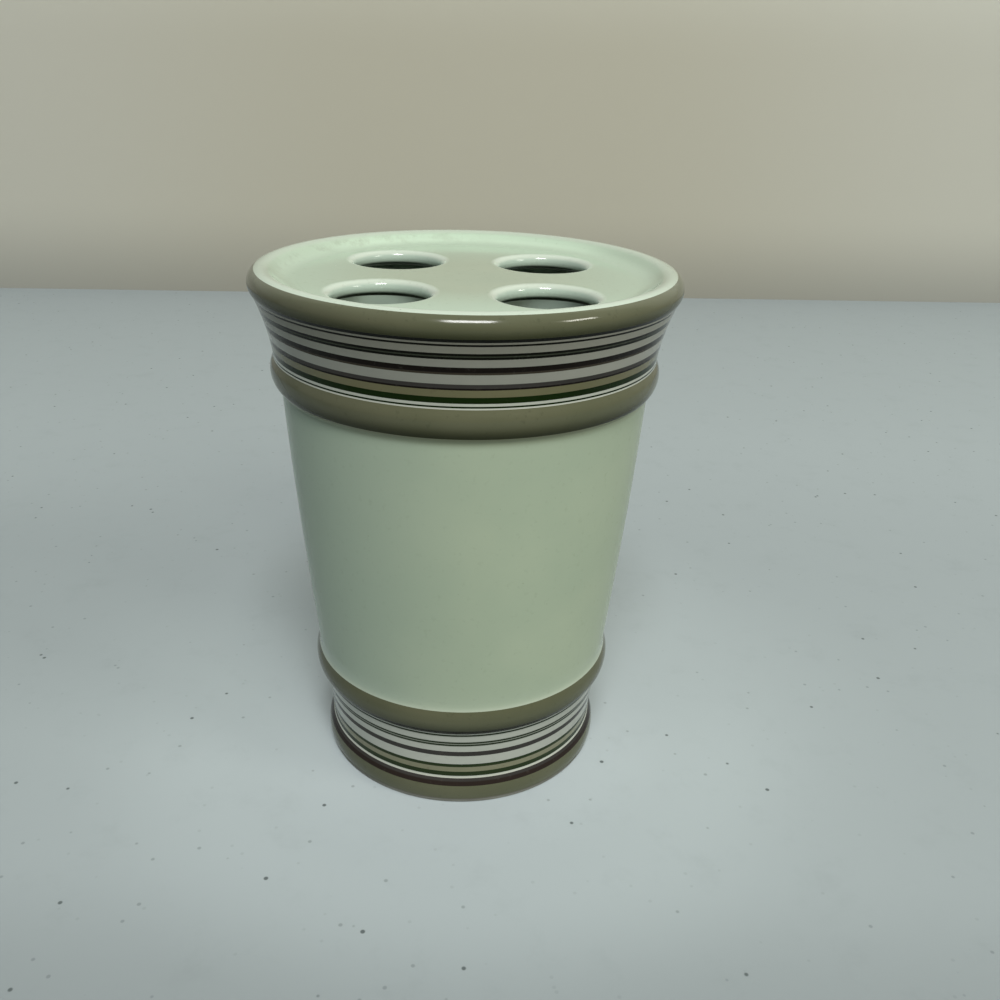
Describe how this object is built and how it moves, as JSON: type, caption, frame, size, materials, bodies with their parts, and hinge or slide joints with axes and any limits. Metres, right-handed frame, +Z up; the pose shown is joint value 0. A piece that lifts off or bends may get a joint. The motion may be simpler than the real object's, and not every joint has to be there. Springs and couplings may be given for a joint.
{
  "type": "toothbrush holder",
  "caption": "Free-standing glazed ceramic tumbler with a dished top plate pierced by round brush holes, and striped bands round the neck and foot.",
  "frame": {"origin": "centre of the foot ring, on the table", "axes": "+Z up along the holder's axis; the brush holes lie on the diagonals between X and Y"},
  "size_m": [0.0899, 0.0898, 0.1143],
  "materials": {
    "bare_clay": "matt unglazed fired clay",
    "celadon_glaze": "glossy pale celadon green glaze with faint specks",
    "olive_glaze": "glossy dark olive glaze",
    "pale_ground": "glossy pale grey ground between stripes",
    "green_ink": "glossy dark green enamel",
    "plum_ink": "glossy plum enamel",
    "tan_ink": "glossy tan enamel"
  },
  "bodies": {
    "root": {"clay_body": "bare_clay", "top_plate": "bare_clay", "well_glaze": "celadon_glaze", "dish_glaze": "celadon_glaze", "rim_glaze": "olive_glaze", "upper_band_ground": "pale_ground", "upper_green_lines": "green_ink", "upper_plum_lines": "plum_ink", "upper_tan_line": "tan_ink", "collar_glaze": "olive_glaze", "wall_glaze": "celadon_glaze", "lower_bead_glaze": "olive_glaze", "lower_band_ground": "pale_ground", "lower_green_lines": "green_ink", "lower_plum_lines": "plum_ink", "lower_tan_line": "tan_ink", "foot_glaze": "olive_glaze", "base_glaze": "celadon_glaze"}
  },
  "joints": []
}
